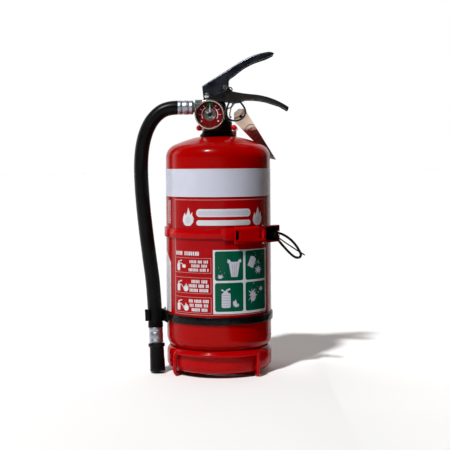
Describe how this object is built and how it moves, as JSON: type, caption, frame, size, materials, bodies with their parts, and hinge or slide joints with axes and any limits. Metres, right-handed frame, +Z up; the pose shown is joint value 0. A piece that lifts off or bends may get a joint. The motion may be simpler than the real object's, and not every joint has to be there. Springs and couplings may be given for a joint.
{
  "type": "fire extinguisher",
  "caption": "Stored-pressure dry-powder fire extinguisher with hose, squeeze valve, gauge and safety pin, standing in a steel vehicle bracket with a strap latch.",
  "frame": {"origin": "on the floor under the cylinder's axis", "axes": "+Z up along the cylinder's axis; -Y towards the reader of gauge and label; hose on -X, levers reach to +X; the bracket's back plate is on +Y"},
  "size_m": [0.2112, 0.1447, 0.3948],
  "materials": {
    "cylinder_paint": "gloss",
    "foot_paint": "gloss",
    "bare_steel": "satin",
    "black_plastic": "satin",
    "seal_rubber": "matte",
    "label_vinyl": "gloss",
    "siphon_plastic": "satin",
    "powder": "matte",
    "valve_black": "satin",
    "brass_parts": "satin",
    "spring_steel": "satin",
    "nut_zinc": "satin",
    "ferrule_steel": "satin",
    "gauge_metal": "satin",
    "bezel_chrome": "polished",
    "dial_face": "satin",
    "lens_clear": "clear",
    "needle_white": "satin",
    "handle_dark": "satin",
    "lever_steel": "polished",
    "rivet_bright": "polished",
    "rivet_dark": "satin",
    "pin_steel": "polished",
    "tie_black": "satin",
    "hose_rubber": "satin",
    "nozzle_plastic": "satin",
    "band_plastic": "satin",
    "clip_plastic": "satin",
    "bracket_paint": "gloss",
    "wire_paint": "gloss",
    "cap_red": "gloss",
    "strap_paint": "gloss",
    "latch_red": "gloss",
    "hook_red": "gloss",
    "chain_dark": "polished",
    "tag_card": "matte"
  },
  "bodies": {
    "extinguisher": {"cylinder_shell": "cylinder_paint", "foot_ring": "foot_paint", "neck_boss": "bare_steel", "neck_collar": "black_plastic", "neck_seal": "seal_rubber", "label_sleeve": "label_vinyl", "siphon_tube": "siphon_plastic", "powder_charge": "powder", "valve_body": "valve_black", "stem_bush": "brass_parts", "spring_ring": "spring_steel", "stem_spring": "spring_steel", "outlet_nipple": "brass_parts", "hose_nut": "nut_zinc", "ferrule_top": "ferrule_steel", "gauge_case": "gauge_metal", "gauge_bezel": "bezel_chrome", "gauge_gasket": "seal_rubber", "gauge_dial": "dial_face", "gauge_lens": "lens_clear", "gauge_seat": "seal_rubber", "bourdon_tube": "brass_parts", "carry_handle": "handle_dark", "pivot_rivet": "rivet_bright", "handle_rivet": "rivet_dark", "hose": "hose_rubber", "hose_collar": "black_plastic", "ferrule_low": "ferrule_steel", "nozzle": "nozzle_plastic", "hose_band": "band_plastic", "hose_clip": "clip_plastic", "back_plate": "bracket_paint", "cradle_wire": "wire_paint", "neck_fork": "wire_paint", "fork_cap_left": "cap_red", "fork_cap_right": "cap_red", "fixed_strap": "strap_paint", "strap_rivet_left": "rivet_dark", "strap_rivet_right": "rivet_dark", "gate_pin": "pin_steel", "strap_hook": "rivet_dark", "tag_tie": "tie_black", "bead_chain": "chain_dark", "service_tag": "tag_card"},
    "squeeze_lever": {"squeeze_lever": "lever_steel", "lever_eyelet": "rivet_bright", "tamper_tie": "tie_black"},
    "valve_stem": {"valve_stem": "brass_parts", "seat_seal": "seal_rubber"},
    "safety_pin": {"safety_pin": "pin_steel"},
    "pull_ring": {"pull_ring": "pin_steel"},
    "gauge_needle": {"gauge_needle": "needle_white", "needle_arbor": "brass_parts"},
    "gate_strap": {"gate_strap": "strap_paint", "latch_pin": "pin_steel"},
    "latch_lever": {"latch_lever": "latch_red", "pull_loop": "tie_black", "pull_tail": "tie_black"},
    "hook_plate": {"hook_plate": "hook_red"}
  },
  "joints": [
    {"name": "lever_squeeze", "type": "hinge", "parent": "extinguisher", "child": "squeeze_lever", "pos_m": [-0.0127, 0, 0.3407], "axis": [0, 1, 0], "range_deg": [0, 22], "stiffness_Nm_per_rad": 1.2, "springref_deg": -6.88},
    {"name": "stem_press", "type": "slide", "parent": "extinguisher", "child": "valve_stem", "axis": [0, 0, -1], "range_m": [0, 0.0082], "deforming": ["stem_spring"]},
    {"name": "pin_pull", "type": "slide", "parent": "extinguisher", "child": "safety_pin", "axis": [0, 1, 0], "range_m": [0, 0.045]},
    {"name": "ring_swing", "type": "hinge", "parent": "safety_pin", "child": "pull_ring", "pos_m": [0.0097, 0.0186, 0.3507], "axis": [1, 0, 0], "range_deg": [-5, 85]},
    {"name": "needle_turn", "type": "hinge", "parent": "extinguisher", "child": "gauge_needle", "pos_m": [-0.0094, 0, 0.3166], "axis": [0, 1, 0], "range_deg": [-100, 60], "stiffness_Nm_per_rad": 0.0005},
    {"name": "gate_swing", "type": "hinge", "parent": "extinguisher", "child": "gate_strap", "pos_m": [0.03374, 0.06087, 0.1726], "axis": [0, 0, 1], "range_deg": [0, 80]},
    {"name": "latch_pull", "type": "hinge", "parent": "gate_strap", "child": "latch_lever", "pos_m": [0.05439, -0.04564, 0.1726], "axis": [0, 0, -1], "range_deg": [0, 68]},
    {"name": "hook_swing", "type": "hinge", "parent": "gate_strap", "child": "hook_plate", "pos_m": [0.05439, -0.04564, 0.1726], "axis": [0, 0, 1], "range_deg": [0, 49.9]}
  ],
  "couplings": [
    {"joint": "stem_press", "follows": "lever_squeeze", "m_per_rad": 0.0212},
    {"joint": "hook_swing", "follows": "latch_pull", "ratio": 0.7333}
  ]
}
